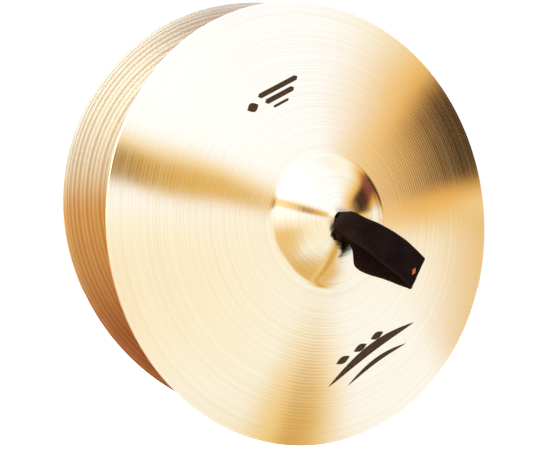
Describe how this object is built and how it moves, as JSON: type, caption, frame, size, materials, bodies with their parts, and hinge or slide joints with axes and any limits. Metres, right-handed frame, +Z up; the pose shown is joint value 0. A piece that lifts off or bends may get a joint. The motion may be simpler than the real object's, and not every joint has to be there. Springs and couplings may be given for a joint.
{
  "type": "hand cymbals",
  "caption": "Pair of lathed bronze hand cymbals with leather hand straps, each tied inside the bell with a woven four-thong knot.",
  "frame": {"origin": "on the front cymbal's axis, level with the top of its bell, where the player's fingers take the strap", "axes": "-Y along the front cymbal's axis out of its bell, +Z up, +X to the right seen from the front bell"},
  "size_m": [0.4616, 0.2315, 0.4772],
  "materials": {
    "bronze": "lathed, brilliant",
    "leather": "smooth, semi-matt, black-brown"
  },
  "bodies": {
    "front_cymbal": {"front_cymbal": "bronze"},
    "front_knot": {"front_strap_throat": "leather", "front_thong_1": "leather", "front_thong_2": "leather", "front_thong_3": "leather", "front_thong_4": "leather"},
    "front_hand_loop": {"front_strap_loop": "leather"},
    "rear_cymbal": {"rear_cymbal": "bronze"},
    "rear_knot": {"rear_strap_throat": "leather", "rear_thong_1": "leather", "rear_thong_2": "leather", "rear_thong_3": "leather", "rear_thong_4": "leather"},
    "rear_hand_loop": {"rear_strap_loop": "leather"}
  },
  "joints": [
    {"name": "jaw", "type": "hinge", "parent": "front_cymbal", "child": "rear_cymbal", "pos_m": [0.17538, 0.0507, -0.10044], "axis": [-0.497, 0, -0.8678], "range_deg": [-14.4, 60]},
    {"name": "front_strap_turn", "type": "hinge", "parent": "front_cymbal", "child": "front_knot", "pos_m": [0, 0, 0], "axis": [0, -1, 0], "continuous": true},
    {"name": "front_strap_fold", "type": "hinge", "parent": "front_knot", "child": "front_hand_loop", "pos_m": [0, -0.006, 0], "axis": [-0.6561, 0, -0.7547], "range_deg": [0, 140]},
    {"name": "rear_strap_turn", "type": "hinge", "parent": "rear_cymbal", "child": "rear_knot", "pos_m": [0.00055, 0.15404, 0.01582], "axis": [0.2158, 0.9686, -0.1236], "continuous": true},
    {"name": "rear_strap_fold", "type": "hinge", "parent": "rear_knot", "child": "rear_hand_loop", "pos_m": [0.00185, 0.15985, 0.01508], "axis": [0.9763, -0.2158, 0.0135], "range_deg": [0, 140]}
  ]
}
